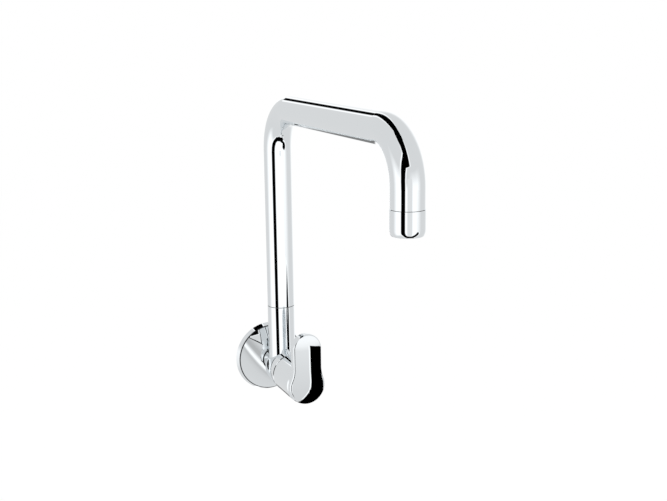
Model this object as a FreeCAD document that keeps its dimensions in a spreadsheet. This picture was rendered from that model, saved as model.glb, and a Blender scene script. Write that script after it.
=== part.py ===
import FreeCAD, Part
import math
import os
from types import SimpleNamespace

import Sketcher
from FreeCAD import Placement, Rotation, Vector

# Wall-mounted kitchen tap with one lever and a swivelling swan-neck spout.
# The wall is the plane Y = 0 and the tap stands out of it towards -Y. Z is up.
# The origin is the centre of the inlet on the wall. All lengths are millimetres.

DRIVING_SIZES = {
    # spout
    "tubeRadius": 12.5,          # outside of the spout tube, and of the stub it stands on
    "tubeWall": 1.5,
    "bendRadius": 37.5,          # both bends, on the tube's centre line
    "spoutRise": 243.0,          # height of the spout's level run above the inlet
    "reach": 250.0,              # from the riser to the outlet
    "outletDrop": 52.0,          # from the level run down to the tube's end
    # valve body
    "riserOut": 36.0,            # from the wall to the riser's axis
    "stubTop": 60.0,             # height of the swivel joint
    "stubBore": 9.5,
    "stubBoreFloor": 21.0,
    "passageRadius": 6.5,
    "inletThread": 10.48,        # G1/2
    "inletTail": 15.0,           # what goes into the wall fitting
    "threadRunout": 2.0,
    "neckRadius": 10.2,
    "inletBore": 6.5,
    "ballRadius": 16.0,          # rounded back of the body
    "hubRadius": 17.6,           # front of the body
    "bodyFront": 58.0,
    "seatHole": 5.0,
    "seatAt": 28.0,
    "seatThick": 4.0,
    "chamberRadius": 11.3,
    "chamberFront": 43.0,
    "headThread": 10.48,
    # flange
    "flangeRadius": 33.7,
    "flangeTaper": 2.0,          # how far the rim leans in up to the domed face
    "flangeRim": 4.6,
    "flangeDepth": 11.8,
    "flangeHole": 10.9,
    "flangeWall": 1.6,
    "flangeDome": 60.0,
    "flangeEdge": 0.9,           # rounding between the rim and the dome
    "collarRadius": 14.0,
    "collarBack": 4.0,
    "gripSection": 0.95,
    "gripAt": 6.5,
    "gasketWidth": 4.0,
    "gasketThick": 1.6,
    # headwork
    "headRadius": 8.6,
    "headFoot": 28.6,
    "cupRadius": 7.0,            # bore that holds the seal and the two discs
    "sealThick": 3.0,
    "discThick": 3.0,
    "discHole": 2.0,
    "discHoleOut": 3.9,
    "notchRadius": 2.4,
    "notchOut": 5.4,
    "washerThick": 1.0,
    "washerStep": 0.8,           # the washer is this much slimmer than the hexagon
    "hexThick": 7.0,
    "headNeck": 8.5,
    "headTop": 75.0,
    "windowHigh": 6.0,
    "windowLong": 5.0,
    "spindleRadius": 4.5,
    "footThick": 3.6,
    "thrustThick": 1.5,
    "tongueWide": 2.4,
    "tongueDeep": 1.0,
    "stopHigh": 2.0,             # lug on the spindle's foot that ends the quarter turn
    "stopLug": 20.0,             # its width in degrees
    "stopAt": 35.0,              # angle of its lower side while the tap is shut
    "stopTurn": 90.0,            # how far it can turn
    "stopGap": 0.5,              # degrees left at each end
    "stemRingSection": 0.62,
    "stemRingBelow": 25.0,       # from the headwork's top back to the farther ring
    "stemRingPitch": 6.0,
    "clipThick": 0.8,
    "clipRadius": 6.2,
    "clipGrooveRadius": 3.9,
    "splineRadius": 4.4,
    "splineDeep": 0.45,
    "splineTeeth": 20,
    "splineStart": 79.0,
    "spindleEnd": 90.0,
    # handle
    "skirtStep": 0.2,            # the handle is this much slimmer than the body's front
    "skirtWall": 1.9,
    "skirtGap": 0.4,             # joint line in front of the body
    "skirtFloor": 70.0,
    "bossRadius": 10.5,
    "bossDeep": 91.0,
    "bladeAt": 92.0,             # from the wall to the blade's back
    "bladeThick": 10.0,
    "bladeCrown": 40.0,          # radius of the blade's crowned face
    "bladeRound": 2.5,           # rounding of the blade's front edge
    "bladeBackRound": 1.4,
    "bladeInset": 0.7,           # the blade's round foot is this much slimmer than the skirt
    "bladeHalf": 13.3,           # half the blade's width
    "bladeTop": 48.5,
    "bladeNeck": 30.0,           # hollow between foot and blade
    "guideThick": 5.0,
    "guideWall": 1.3,
    "guideGap": 0.3,             # round the headwork's hexagon
    # screws
    "screwRadius": 2.5,
    "screwSocket": 1.45,
    "socketDeep": 1.8,
    "pinRadius": 1.5,
    "keepAt": 50.0,              # height of the spout's keeper screw
    "keepGroove": 1.2,
    "keepGrooveHigh": 5.0,
    "grubAt": 85.0,
    "grubLong": 9.0,
    # swivel nipple
    "nippleBore": 6.6,
    "nippleFoot": 23.0,
    "nippleHold": 12.0,
    "ringSection": 0.9,
    "ringLow": 33.0,
    "ringPitch": 7.0,
    "guideHigh": 3.6,
    "guideLow": 25.0,
    "guidePitch": 29.5,
    "guideDeep": 1.25,
    "slipThick": 0.5,
    "slipInset": 0.3,
    # outlet
    "ferruleHold": 12.0,
    "ferruleDrop": 9.0,
    "ferruleThread": 10.9,
    "ferruleBore": 9.2,
    "aeratorRadius": 12.8,
    "aeratorHigh": 19.0,
    "aeratorCurve": 9.0,         # its wall curves in to its foot
    "aeratorCurveHigh": 4.6,
    "aeratorRound": 1.2,
    "aeratorLip": 1.5,
    "aeratorMouth": 9.4,
    "aeratorGap": 0.3,           # joint line under the tube's end
    "packingThick": 2.0,
    "cageWall": 1.5,
    "gridThick": 1.6,
    "gridHole": 1.25,
    "gridInner": 3.4,
    "gridInnerHoles": 8,
    "gridOuter": 6.9,
    "gridOuterHoles": 16,
    "screenThick": 0.3,
    "regulatorBore": 2.2,
    # fits
    "edgeBreak": 0.4,            # bevel of the outer edges
    "seatGap": 0.02,             # parts that are screwed or brazed together
    "runGap": 0.1,               # radial, round what turns
    "slipGap": 0.05,             # axial, between faces that slide
    "past": 1.0,                 # how far a cutting tool runs past a face
}

doc = FreeCAD.newDocument("wall_tap")
sheet = doc.addObject("Spreadsheet::Sheet", "Sizes")


class Size:
    # A length that is a number now and an expression on the sheet for later.
    def __init__(self, text, value):
        self.text = text
        self.value = value

    def __add__(self, other):
        return joined(self, "+", other)

    def __radd__(self, other):
        return joined(other, "+", self)

    def __sub__(self, other):
        return joined(self, "-", other)

    def __rsub__(self, other):
        return joined(other, "-", self)

    def __mul__(self, other):
        return joined(self, "*", other)

    def __rmul__(self, other):
        return joined(other, "*", self)

    def __truediv__(self, other):
        return joined(self, "/", other)

    def __neg__(self):
        return joined(0, "-", self)


def sized(item):
    return item if isinstance(item, Size) else Size(repr(item), item)


def joined(left, sign, right):
    left, right = sized(left), sized(right)
    answers = {"+": lambda: left.value + right.value,
               "-": lambda: left.value - right.value,
               "*": lambda: left.value * right.value,
               "/": lambda: left.value / right.value}
    return Size(f"({left.text} {sign} {right.text})", answers[sign]())


def root(item):
    return Size(f"sqrt({item.text})", math.sqrt(item.value))


def fillSheet():
    names = SimpleNamespace()
    for row, (name, value) in enumerate(DRIVING_SIZES.items(), start=1):
        sheet.set(f"A{row}", name)
        sheet.set(f"B{row}", str(value))
        sheet.setAlias(f"B{row}", name)
        setattr(names, name, Size(f"Sizes.{name}", value))
    doc.recompute()
    return names


size = fillSheet()

UP = Rotation()
OUT = Rotation(Vector(1, 0, 0), 90)       # a piece's own Z points away from the wall
BACK = Rotation(Vector(1, 0, 0), -90)     # and here towards the wall
DOWN = Rotation(Vector(1, 0, 0), 180)

WALL = (0, 0, 0)
RISER = (0, -size.riserOut, 0)
OUTLET = (0, -size.riserOut - size.reach, 0)


def bind(item, prop, value):
    if isinstance(value, Size):
        item.setExpression(prop, value.text)
    elif value:
        setattr(item, prop, value)


def place(item, spot, turn):
    item.Placement = Placement(Vector(*[sized(part).value for part in spot]), turn)
    for letter, part in zip("xyz", spot):
        if isinstance(part, Size):
            item.setExpression(f".Placement.Base.{letter}", part.text)


def drawArc(start, end, radius):
    # shorter arc between two points: the centre lies left of the way for a positive radius
    middle = (start + end) / 2
    half = (end - start).Length / 2
    left = Vector(start.y - end.y, end.x - start.x, 0).normalize()
    reachIn = math.sqrt(max(radius.value ** 2 - half ** 2, 0))
    centre = middle + left * reachIn * (1 if radius.value > 0 else -1)
    first, last = (start, end) if radius.value > 0 else (end, start)
    angles = [math.atan2(point.y - centre.y, point.x - centre.x) for point in (first, last)]
    circle = Part.Circle(centre, Vector(0, 0, 1), abs(radius.value))
    return Part.ArcOfCircle(circle, *angles)


def drawOutline(sketch, outline, closed=True):
    # Each corner is (x, y), or (x, y, radius) where an arc of that radius leads to it.
    corners = [tuple(sized(part) for part in corner) for corner in outline]
    points = [Vector(corner[0].value, corner[1].value, 0) for corner in corners]
    steps = len(corners) if closed else len(corners) - 1
    ends = []
    for step in range(steps):
        target = (step + 1) % len(corners)
        radius = corners[target][2] if len(corners[target]) > 2 else None
        if radius is None:
            edge = sketch.addGeometry(Part.LineSegment(points[step], points[target]))
            ends.append((edge, 1, 2))
        else:
            edge = sketch.addGeometry(drawArc(points[step], points[target], radius))
            ends.append((edge, 1, 2) if radius.value > 0 else (edge, 2, 1))
            span = radius if radius.value > 0 else -radius
            added = sketch.addConstraint(Sketcher.Constraint("Radius", edge, span.value))
            sketch.setExpression(f"Constraints[{added}]", span.text)
    for step in range(steps if closed else steps - 1):
        edge, _, end = ends[step]
        following, start, _ = ends[(step + 1) % steps]
        sketch.addConstraint(Sketcher.Constraint("Coincident", edge, end, following, start))
    tips = [(edge, start) for edge, start, _ in ends]
    if not closed:
        tips.append((ends[-1][0], ends[-1][2]))
    for corner, (edge, tip) in zip(corners, tips):
        for part, kind, axis in ((corner[0], "DistanceX", -2), (corner[1], "DistanceY", -1)):
            if part.text == "0":
                sketch.addConstraint(Sketcher.Constraint("PointOnObject", edge, tip, axis))
            else:
                link = Sketcher.Constraint(kind, -1, 1, edge, tip, part.value)
                added = sketch.addConstraint(link)
                sketch.setExpression(f"Constraints[{added}]", part.text)


def newBody(label, spot, turn):
    body = doc.addObject("PartDesign::Body", label)
    body.Label = label
    place(body, spot, turn)
    return body


def newSketch(body, name, plane, lift=None, along=None):
    # lifted off its plane, or moved along the plane's own upward axis
    sketch = body.newObject("Sketcher::SketchObject", name)
    ground = [item for item in body.Origin.OriginFeatures if item.Role == plane][0]
    sketch.AttachmentSupport = [(ground, "")]
    sketch.MapMode = "FlatFace"
    for letter, move in (("z", lift), ("y", along)):
        if move is not None:
            sketch.setExpression(f".AttachmentOffset.Base.{letter}", sized(move).text)
    return sketch


def revolved(body, outline):
    sketch = newSketch(body, body.Name + "_profile", "XZ_Plane")
    drawOutline(sketch, outline)
    turn = body.newObject("PartDesign::Revolution", body.Name + "_turn")
    turn.Profile = sketch
    turn.ReferenceAxis = (sketch, ["V_Axis"])
    turn.Angle = 360
    return turn


def turned(label, outline, spot=WALL, turn=OUT):
    # A lathe part: its outline is (radius, height) corners round the piece's own Z.
    body = newBody(label, spot, turn)
    revolved(body, outline)
    return body


def washer(label, inner, outer, low, high, spot=WALL, turn=OUT):
    return turned(label, [(inner, low), (outer, low), (outer, high), (inner, high)], spot, turn)


def rod(label, radius, low, high, spot=WALL, turn=OUT):
    return turned(label, [(0, low), (radius, low), (radius, high), (0, high)], spot, turn)


def roundRing(label, radius, section, spot, turn):
    ring = doc.addObject("Part::Torus", label)
    bind(ring, "Radius1", radius)
    bind(ring, "Radius2", section)
    place(ring, spot, turn)
    return ring


def block(label, spans, spot):
    # a box by its lowest corner and its spans along X, Y and Z
    box = doc.addObject("Part::Box", label)
    for prop, span in zip(("Length", "Width", "Height"), spans):
        bind(box, prop, span)
    place(box, spot, UP)
    return box


def sector(label, radius, low, high, start, wide):
    # a slice of a disc round the inlet's axis: start and wide are angles in degrees
    wedge = doc.addObject("Part::Cylinder", label)
    bind(wedge, "Radius", radius)
    bind(wedge, "Height", high - low)
    bind(wedge, "Angle", wide)
    place(wedge, (0, -low, 0), OUT * Rotation(Vector(0, 0, 1), start.value))
    return wedge


def hexagon(label, radius, thick, spot, turn):
    prism = doc.addObject("Part::Prism", label)
    prism.Polygon = 6
    bind(prism, "Circumradius", radius)
    bind(prism, "Height", thick)
    place(prism, spot, turn)
    return prism


def fused(label, pieces):
    whole = doc.addObject("Part::MultiFuse", label)
    whole.Shapes = pieces
    whole.Refine = True
    whole.Label = label
    return whole


def cut(label, base, tools):
    tool = tools[0] if len(tools) == 1 else fused(label + "_tools", tools)
    result = doc.addObject("Part::Cut", label)
    result.Base = base
    result.Tool = tool
    result.Refine = True
    result.Label = label
    return result


def grouped(label, pieces):
    group = doc.addObject("Part::Compound", label)
    group.Links = pieces
    group.Label = label
    return group


def circlesAt(shape, radius, height):
    # names of the round edges of one radius at one height of a lathe part
    found = []
    for number, edge in enumerate(shape.Edges, start=1):
        curve = edge.Curve
        if isinstance(curve, Part.Circle) and abs(curve.Radius - radius.value) < 1e-4:
            if abs(curve.Center.z - height.value) < 1e-4:
                found.append(f"Edge{number}")
    return found


def rounded(body, feature, names, radius):
    fillet = body.newObject("PartDesign::Fillet", body.Name + "_round")
    fillet.Base = (feature, names)
    fillet.setExpression("Radius", radius.text)
    return fillet


def patternOfHoles(body, name, outline, lift, deep, count):
    # cuts one outline downwards from a height, and repeats it round the piece's axis
    sketch = newSketch(body, name + "_outline", "XY_Plane", lift)
    if isinstance(outline, list):
        drawOutline(sketch, outline)
    else:
        drawHole(sketch, *outline)
    pocket = body.newObject("PartDesign::Pocket", name)
    pocket.Profile = sketch
    bind(pocket, "Length", deep)
    doc.recompute()
    before = pocket.BaseFeature.Shape.Volume
    if pocket.Shape.Volume >= before - 1e-6:
        raise RuntimeError(f"{name} cuts nothing")
    ground = [item for item in body.Origin.OriginFeatures if item.Role == "Z_Axis"][0]
    pattern = body.newObject("PartDesign::PolarPattern", name + "_pattern")
    pattern.Originals = [pocket]
    pattern.Axis = (ground, [""])
    pattern.Angle = 360
    bind(pattern, "Occurrences", count)
    body.Tip = pattern
    return pattern


def drawHole(sketch, out, radius):
    hole = sketch.addGeometry(Part.Circle(Vector(out.value, 0, 0), Vector(0, 0, 1), radius.value))
    sketch.addConstraint(Sketcher.Constraint("PointOnObject", hole, 3, -1))
    far = sketch.addConstraint(Sketcher.Constraint("DistanceX", -1, 1, hole, 3, out.value))
    sketch.setExpression(f"Constraints[{far}]", out.text)
    wide = sketch.addConstraint(Sketcher.Constraint("Radius", hole, radius.value))
    sketch.setExpression(f"Constraints[{wide}]", radius.text)


# ---- places that several pieces share ----

tubeBore = size.tubeRadius - size.tubeWall
tubeFoot = size.stubTop + size.slipThick + size.slipGap
tubeEnd = size.spoutRise - size.outletDrop
nippleRadius = size.stubBore - size.runGap
aeratorFoot = tubeEnd - size.aeratorHigh
aeratorShelf = aeratorFoot + size.aeratorLip
ferruleFoot = tubeEnd - size.ferruleDrop
cageRadius = size.ferruleThread
fixedDiscFoot = size.seatAt + size.sealThick
turningDiscFoot = fixedDiscFoot + size.discThick + size.slipGap
spindleFoot = turningDiscFoot + size.discThick
spindleShoulder = spindleFoot + size.footThick
cupFloor = spindleShoulder + size.thrustThick + 2 * size.slipGap
discRadius = size.cupRadius - size.runGap
stemBore = size.spindleRadius + size.runGap
hexFoot = size.bodyFront + size.washerThick
skirtFoot = size.bodyFront + size.skirtGap
skirtRadius = size.hubRadius - size.skirtStep
skirtBore = skirtRadius - size.skirtWall
guideRadius = skirtBore - size.runGap
hexRadius = guideRadius - size.guideWall - size.guideGap
bladeFoot = skirtRadius - size.bladeInset
bossFoot = size.splineStart + size.slipGap
stopFoot = spindleShoulder - size.stopHigh
clipFoot = size.headTop + size.slipGap


# ---- fixed to the wall ----

def makeValveBody():
    # The back of the body is a ball round the riser's axis, and a slight cone runs
    # from the ball to the body's front. The cone's line touches the ball.
    front = size.bodyFront - size.riserOut
    ball, hub = size.ballRadius, size.hubRadius
    front = front - size.edgeBreak
    far = hub * hub + front * front
    touch = root(far - ball * ball)
    touchRadius = (ball * ball * hub + ball * touch * front) / far
    touchHeight = size.riserOut + (ball * ball * front - ball * touch * hub) / far
    ballStart = size.riserOut - root(ball * ball - size.neckRadius * size.neckRadius)
    core = turned("valve_body_core", [
        (0, -size.inletTail),
        (size.inletThread, -size.inletTail),
        (size.inletThread, size.threadRunout),
        (size.neckRadius, size.threadRunout),
        (size.neckRadius, ballStart),
        (touchRadius, touchHeight, ball),
        (hub, size.bodyFront - size.edgeBreak),
        (hub - size.edgeBreak, size.bodyFront),
        (0, size.bodyFront)])
    stub = rod("valve_body_stub", size.tubeRadius, 0, size.stubTop, RISER, UP)
    chamber = turned("valve_body_chamber", [
        (0, -size.inletTail - size.past),
        (size.inletBore, -size.inletTail - size.past),
        (size.inletBore, size.seatAt - size.seatThick),
        (size.seatHole, size.seatAt - size.seatThick),
        (size.seatHole, size.seatAt),
        (size.chamberRadius, size.seatAt),
        (size.chamberRadius, size.chamberFront),
        (size.headThread, size.chamberFront),
        (size.headThread, size.bodyFront + size.past),
        (0, size.bodyFront + size.past)])
    riserBore = turned("valve_body_riser_bore", [
        (0, 0),
        (size.passageRadius, 0),
        (size.passageRadius, size.stubBoreFloor),
        (size.stubBore, size.stubBoreFloor),
        (size.stubBore, size.stubTop + size.past),
        (0, size.stubTop + size.past)], RISER, UP)
    keeperHole = rod("valve_body_keeper_hole", size.screwRadius, size.stubBore - size.past,
                     size.tubeRadius + size.past, (0, -size.riserOut, size.keepAt), BACK)
    outside = fused("valve_body_outside", [core, stub])
    return cut("valve_body", outside, [chamber, riserBore, keeperHole])


def makeFlange():
    # a domed cover with a collar behind its hole for the ring that grips the tail
    dome, wall = size.flangeDome, size.flangeWall
    face = size.flangeRadius - size.flangeTaper
    grooveRadius = size.neckRadius + 2 * size.gripSection + size.slipGap
    grooveLow = size.gripAt - size.gripSection - size.slipGap
    grooveHigh = size.gripAt + size.gripSection + size.slipGap
    body = newBody("wall_flange", WALL, OUT)
    shell = revolved(body, [
        (size.flangeRadius, 0),
        (face, size.flangeRim),
        (size.flangeHole, size.flangeDepth, dome),
        (size.flangeHole, grooveHigh),
        (grooveRadius, grooveHigh),
        (grooveRadius, grooveLow),
        (size.flangeHole, grooveLow),
        (size.flangeHole, size.collarBack),
        (size.collarRadius, size.collarBack),
        (size.collarRadius, size.flangeDepth - 2 * wall),
        (face - wall, size.flangeRim - wall / 2, -dome),
        (size.flangeRadius - wall, 0)])
    doc.recompute()
    rounded(body, shell, circlesAt(shell.Shape, face, size.flangeRim), size.flangeEdge)
    return body


def makeGasket():
    outer = size.flangeRadius - size.flangeWall - size.gasketThick
    return washer("flange_gasket", outer - size.gasketWidth, outer, 0, size.gasketThick)


def makeGripRing():
    radius = size.neckRadius + size.gripSection + size.seatGap
    return roundRing("flange_o_ring", radius, size.gripSection, (0, -size.gripAt, 0), OUT)


def makeSeatSeal():
    return washer("seat_seal", size.seatHole, size.cupRadius - size.seatGap,
                  size.seatAt, fixedDiscFoot)


def makeHeadworkBody():
    thread = size.headThread - size.seatGap
    shell = turned("headwork_shell", [
        (size.cupRadius, size.headFoot),
        (size.headRadius, size.headFoot),
        (size.headRadius, size.chamberFront),
        (thread, size.chamberFront),
        (thread, hexFoot + size.hexThick),
        (size.headNeck, hexFoot + size.hexThick),
        (size.headNeck, size.headTop),
        (stemBore, size.headTop),
        (stemBore, cupFloor),
        (size.cupRadius, cupFloor)])
    nut = hexagon("headwork_hexagon", hexRadius, size.hexThick, (0, -hexFoot, 0), OUT)
    core = rod("headwork_hexagon_bore", size.headNeck - size.past, hexFoot - size.past,
               hexFoot + size.hexThick + size.past)
    collar = cut("headwork_collar", nut, [core])
    window = block("headwork_window", (2 * size.chamberRadius, size.windowLong, size.windowHigh),
                   (-size.chamberRadius, -spindleFoot - size.tongueDeep, -size.windowHigh / 2))
    slot = sector("headwork_stop_slot", size.headRadius + size.past, stopFoot - size.slipGap,
                  spindleShoulder + size.slipGap, size.stopAt - size.stopGap,
                  size.stopTurn + size.stopLug + 2 * size.stopGap)
    whole = fused("headwork_whole", [shell, collar])
    return cut("headwork_body", whole, [window, slot])


def makeHeadworkWasher():
    return washer("headwork_washer", size.headThread + size.seatGap,
                  hexRadius - size.washerStep, size.bodyFront, hexFoot)


def makeFixedDisc():
    # the way through lies to the left and right, across the turning disc's notches
    disc = rod("fixed_disc_blank", size.cupRadius - size.seatGap, fixedDiscFoot,
               fixedDiscFoot + size.discThick)
    holes = [rod(f"fixed_disc_hole_{side}", size.discHole, fixedDiscFoot - size.past,
                 fixedDiscFoot + size.discThick + size.past, (out, 0, 0))
             for side, out in (("left", -size.discHoleOut), ("right", size.discHoleOut))]
    return cut("fixed_disc", disc, holes)


def makeThrustWasher():
    return washer("thrust_washer", stemBore, discRadius, spindleShoulder + size.slipGap,
                  cupFloor)


def makeGuideRing():
    return washer("handle_guide_ring", guideRadius - size.guideWall, guideRadius,
                  size.bodyFront, size.bodyFront + size.guideThick)


def makeSlipRing():
    return washer("spout_slip_ring", size.stubBore, size.tubeRadius - size.slipInset,
                  size.stubTop, size.stubTop + size.slipThick, RISER, UP)


def makeKeeperScrew():
    # a dog-point screw: its point stands in the nipple's groove
    shank = size.stubBore + size.slipGap
    head = size.tubeRadius - size.runGap
    tip = nippleRadius - size.keepGroove + size.runGap
    blank = turned("keeper_blank", [
        (0, tip), (size.pinRadius, tip), (size.pinRadius, shank),
        (size.screwRadius - size.seatGap, shank), (size.screwRadius - size.seatGap, head),
        (0, head)], (0, -size.riserOut, size.keepAt), BACK)
    socket = hexagon("keeper_socket", size.screwSocket, size.socketDeep + size.past,
                     (0, head - size.riserOut - size.socketDeep, size.keepAt), BACK)
    return cut("spout_retaining_screw", blank, [socket])


# ---- turned by hand ----

def makeSpindle():
    lowRing = size.headTop - size.stemRingBelow
    grooves = []
    half = size.stemRingSection + size.slipGap
    ringFloor = stemBore - 2 * size.stemRingSection - 2 * size.slipGap
    for spot in (lowRing, lowRing + size.stemRingPitch):
        grooves += [(size.spindleRadius, spot - half), (ringFloor, spot - half),
                    (ringFloor, spot + half), (size.spindleRadius, spot + half)]
    body = newBody("spindle_stem", WALL, OUT)
    revolved(body, [
        (0, spindleFoot), (discRadius - size.runGap, spindleFoot),
        (discRadius - size.runGap, spindleShoulder), (size.spindleRadius, spindleShoulder),
        *grooves,
        (size.spindleRadius, clipFoot), (size.clipGrooveRadius, clipFoot),
        (size.clipGrooveRadius, clipFoot + size.clipThick),
        (size.spindleRadius, clipFoot + size.clipThick),
        (size.spindleRadius, size.splineStart), (size.splineRadius, size.splineStart),
        (size.splineRadius, size.spindleEnd), (0, size.spindleEnd)])
    doc.recompute()
    floor = size.splineRadius - size.splineDeep
    rim = size.splineRadius + size.runGap
    patternOfHoles(body, "spindle_tooth_gap",
                   [(floor, 0), (rim, size.splineDeep), (rim, -size.splineDeep)],
                   size.spindleEnd + size.slipGap,
                   size.spindleEnd - size.splineStart, size.splineTeeth)
    tongue = block("spindle_tongue",
                   (size.tongueWide - size.runGap, size.tongueDeep + size.past, 2 * size.notchOut),
                   (-(size.tongueWide - size.runGap) / 2, -spindleFoot - size.past,
                    -size.notchOut))
    lug = sector("spindle_stop_lug", size.headRadius, stopFoot, spindleShoulder, size.stopAt,
                 size.stopLug)
    return fused("spindle", [body, tongue, lug])


def makeTurningDisc():
    # its notches stand up and down while the tap is shut
    top = turningDiscFoot + size.discThick
    disc = rod("turning_disc_blank", discRadius, turningDiscFoot, top)
    notches = [rod(f"turning_disc_notch_{side}", size.notchRadius, turningDiscFoot - size.past,
                   top + size.past, (0, 0, out))
               for side, out in (("low", -size.notchOut), ("high", size.notchOut))]
    slot = block("turning_disc_slot",
                 (size.tongueWide, size.tongueDeep + size.slipGap + size.past,
                  2 * size.cupRadius),
                 (-size.tongueWide / 2, -top - size.past, -size.cupRadius))
    return cut("turning_disc", disc, notches + [slot])


def makeStemRings():
    radius = stemBore - size.stemRingSection - size.slipGap
    low = size.headTop - size.stemRingBelow
    spots = (low, low + size.stemRingPitch)
    return grouped("spindle_o_rings", [
        roundRing(f"stem_ring_{number}", radius, size.stemRingSection, (0, -spot, 0), OUT)
        for number, spot in enumerate(spots)])


def makeCirclip():
    # an open ring: the gap is on top
    ring = washer("circlip_ring", size.clipGrooveRadius + size.seatGap, size.clipRadius,
                  clipFoot + size.seatGap, clipFoot + size.clipThick - size.seatGap)
    gap = block("circlip_gap", (size.clipGrooveRadius, 2 * size.clipThick + size.past, size.clipRadius),
                (-size.clipGrooveRadius / 2, -clipFoot - 2 * size.clipThick, 0))
    return cut("spindle_circlip", ring, [gap])


def makeHandle():
    # The blade's outline is padded, and its face is then turned down to a crown: a
    # cylinder along the blade whose ends are parts of balls.
    body = newBody("handle_casting", WALL, OUT)
    foot, half, neck = bladeFoot, size.bladeHalf, size.bladeNeck
    neckOut = half + neck
    neckUp = root((foot + neck) * (foot + neck) - neckOut * neckOut)
    touchOut = neckOut * foot / (foot + neck)
    touchUp = neckUp * foot / (foot + neck)
    shoulder = size.bladeTop - half
    face = size.bladeAt + size.bladeThick
    outline = newSketch(body, "handle_blade_outline", "XY_Plane", size.bladeAt)
    drawOutline(outline, [
        (0, -foot, foot),
        (touchOut, touchUp, foot),
        (half, neckUp, -neck),
        (half, shoulder),
        (0, size.bladeTop, half),
        (-half, shoulder, half),
        (-half, neckUp),
        (-touchOut, touchUp, -neck)])
    blade = body.newObject("PartDesign::Pad", "handle_blade")
    blade.Profile = outline
    bind(blade, "Length", size.bladeThick)
    crown = size.bladeCrown
    chips = newSketch(body, "handle_crown_outline", "YZ_Plane", along=face - crown)
    drawOutline(chips, [
        (-crown, 0),
        (0, crown, -crown),
        (shoulder, crown),
        (shoulder + crown, 0, -crown),
        (shoulder + crown, crown + size.bladeThick),
        (-crown, crown + size.bladeThick)])
    turn = body.newObject("PartDesign::Groove", "handle_crown")
    turn.Profile = chips
    turn.ReferenceAxis = (chips, ["H_Axis"])
    turn.Angle = 360
    doc.recompute()
    if turn.Shape.Volume >= blade.Shape.Volume - size.past.value:
        raise RuntimeError("the crown cuts nothing")
    rim = []
    for number, edge in enumerate(turn.Shape.Edges, start=1):
        middle = edge.valueAt((edge.FirstParameter + edge.LastParameter) / 2)
        spine = Vector(0, min(max(middle.y, 0), shoulder.value), middle.z)
        fromBack = min(point.Z for point in edge.Vertexes) - size.bladeAt.value
        if fromBack > 1e-4 and (middle - spine).Length > half.value - 1e-3:
            rim.append(f"Edge{number}")
    front = rounded(body, turn, rim, size.bladeRound)
    doc.recompute()
    heel = [f"Edge{number}" for number, edge in enumerate(front.Shape.Edges, start=1)
            if all(abs(point.Z - size.bladeAt.value) < 1e-4 for point in edge.Vertexes)]
    rounded(body, front, heel, size.bladeBackRound)
    shoulderTop = size.bladeAt + size.bladeBackRound
    revolved(body, [
        (skirtBore, skirtFoot),
        (skirtRadius - size.edgeBreak, skirtFoot),
        (skirtRadius, skirtFoot + size.edgeBreak),
        (skirtRadius, size.bladeAt),
        (foot, shoulderTop),
        (0, shoulderTop),
        (0, size.bossDeep),
        (size.splineRadius + size.seatGap, size.bossDeep),
        (size.splineRadius + size.seatGap, bossFoot),
        (size.bossRadius, bossFoot),
        (size.bossRadius, size.skirtFloor),
        (skirtBore, size.skirtFloor)])
    hole = rod("handle_grub_hole", size.screwRadius, 0, skirtRadius + size.past,
               (0, -size.grubAt, 0), DOWN)
    return cut("lever_handle", body, [hole])


def makeGrubScrew():
    near = size.splineRadius + size.seatGap
    blank = rod("grub_blank", size.screwRadius - size.seatGap, near, near + size.grubLong,
                (0, -size.grubAt, 0), DOWN)
    socket = hexagon("grub_socket", size.screwSocket, size.socketDeep + size.past,
                     (0, -size.grubAt, -near - size.grubLong + size.socketDeep), DOWN)
    return cut("lever_grub_screw", blank, [socket])


# ---- swivels on the stub ----

def makeSpoutTube():
    # swept along the riser, the level run and the outlet, in a frame whose X runs outwards
    body = newBody("spout_tube", RISER, Rotation(Vector(0, 0, 1), -90))
    bend, rise = size.bendRadius, size.spoutRise
    path = newSketch(body, "spout_path", "XZ_Plane")
    drawOutline(path, [
        (0, tubeFoot),
        (0, rise - bend),
        (bend, rise, -bend),
        (size.reach - bend, rise),
        (size.reach, rise - bend, -bend),
        (size.reach, tubeEnd)], closed=False)
    section = newSketch(body, "spout_section", "XY_Plane", tubeFoot)
    for radius in (size.tubeRadius, tubeBore):
        ring = section.addGeometry(Part.Circle(Vector(), Vector(0, 0, 1), radius.value))
        section.addConstraint(Sketcher.Constraint("Coincident", ring, 3, -1, 1))
        added = section.addConstraint(Sketcher.Constraint("Radius", ring, radius.value))
        section.setExpression(f"Constraints[{added}]", radius.text)
    pipe = body.newObject("PartDesign::AdditivePipe", "spout_pipe")
    pipe.Profile = section
    pipe.Spine = (path, [])
    doc.recompute()
    return body


def makeSwivelNipple():
    body = nippleRadius
    floor = body - size.guideDeep - size.slipGap
    ringFloor = size.stubBore - size.slipGap - 2 * size.ringSection - size.slipGap
    keepFloor = body - size.keepGroove
    grooves = [
        (size.guideLow, size.guideLow + size.guideHigh, floor),
        *[(spot - size.ringSection - size.slipGap, spot + size.ringSection + size.slipGap, ringFloor)
          for spot in (size.ringLow, size.ringLow + size.ringPitch)],
        (size.keepAt - size.keepGrooveHigh / 2, size.keepAt + size.keepGrooveHigh / 2, keepFloor),
        (size.guideLow + size.guidePitch,
         size.guideLow + size.guidePitch + size.guideHigh, floor)]
    steps = []
    for low, high, depth in grooves:
        steps += [(body, low), (depth, low), (depth, high), (body, high)]
    hold = tubeBore - size.seatGap
    return turned("swivel_nipple", [
        (size.nippleBore, size.nippleFoot),
        (body, size.nippleFoot),
        *steps,
        (body, tubeFoot),
        (hold, tubeFoot),
        (hold, tubeFoot + size.nippleHold),
        (size.nippleBore, tubeFoot + size.nippleHold)], RISER, UP)


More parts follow.
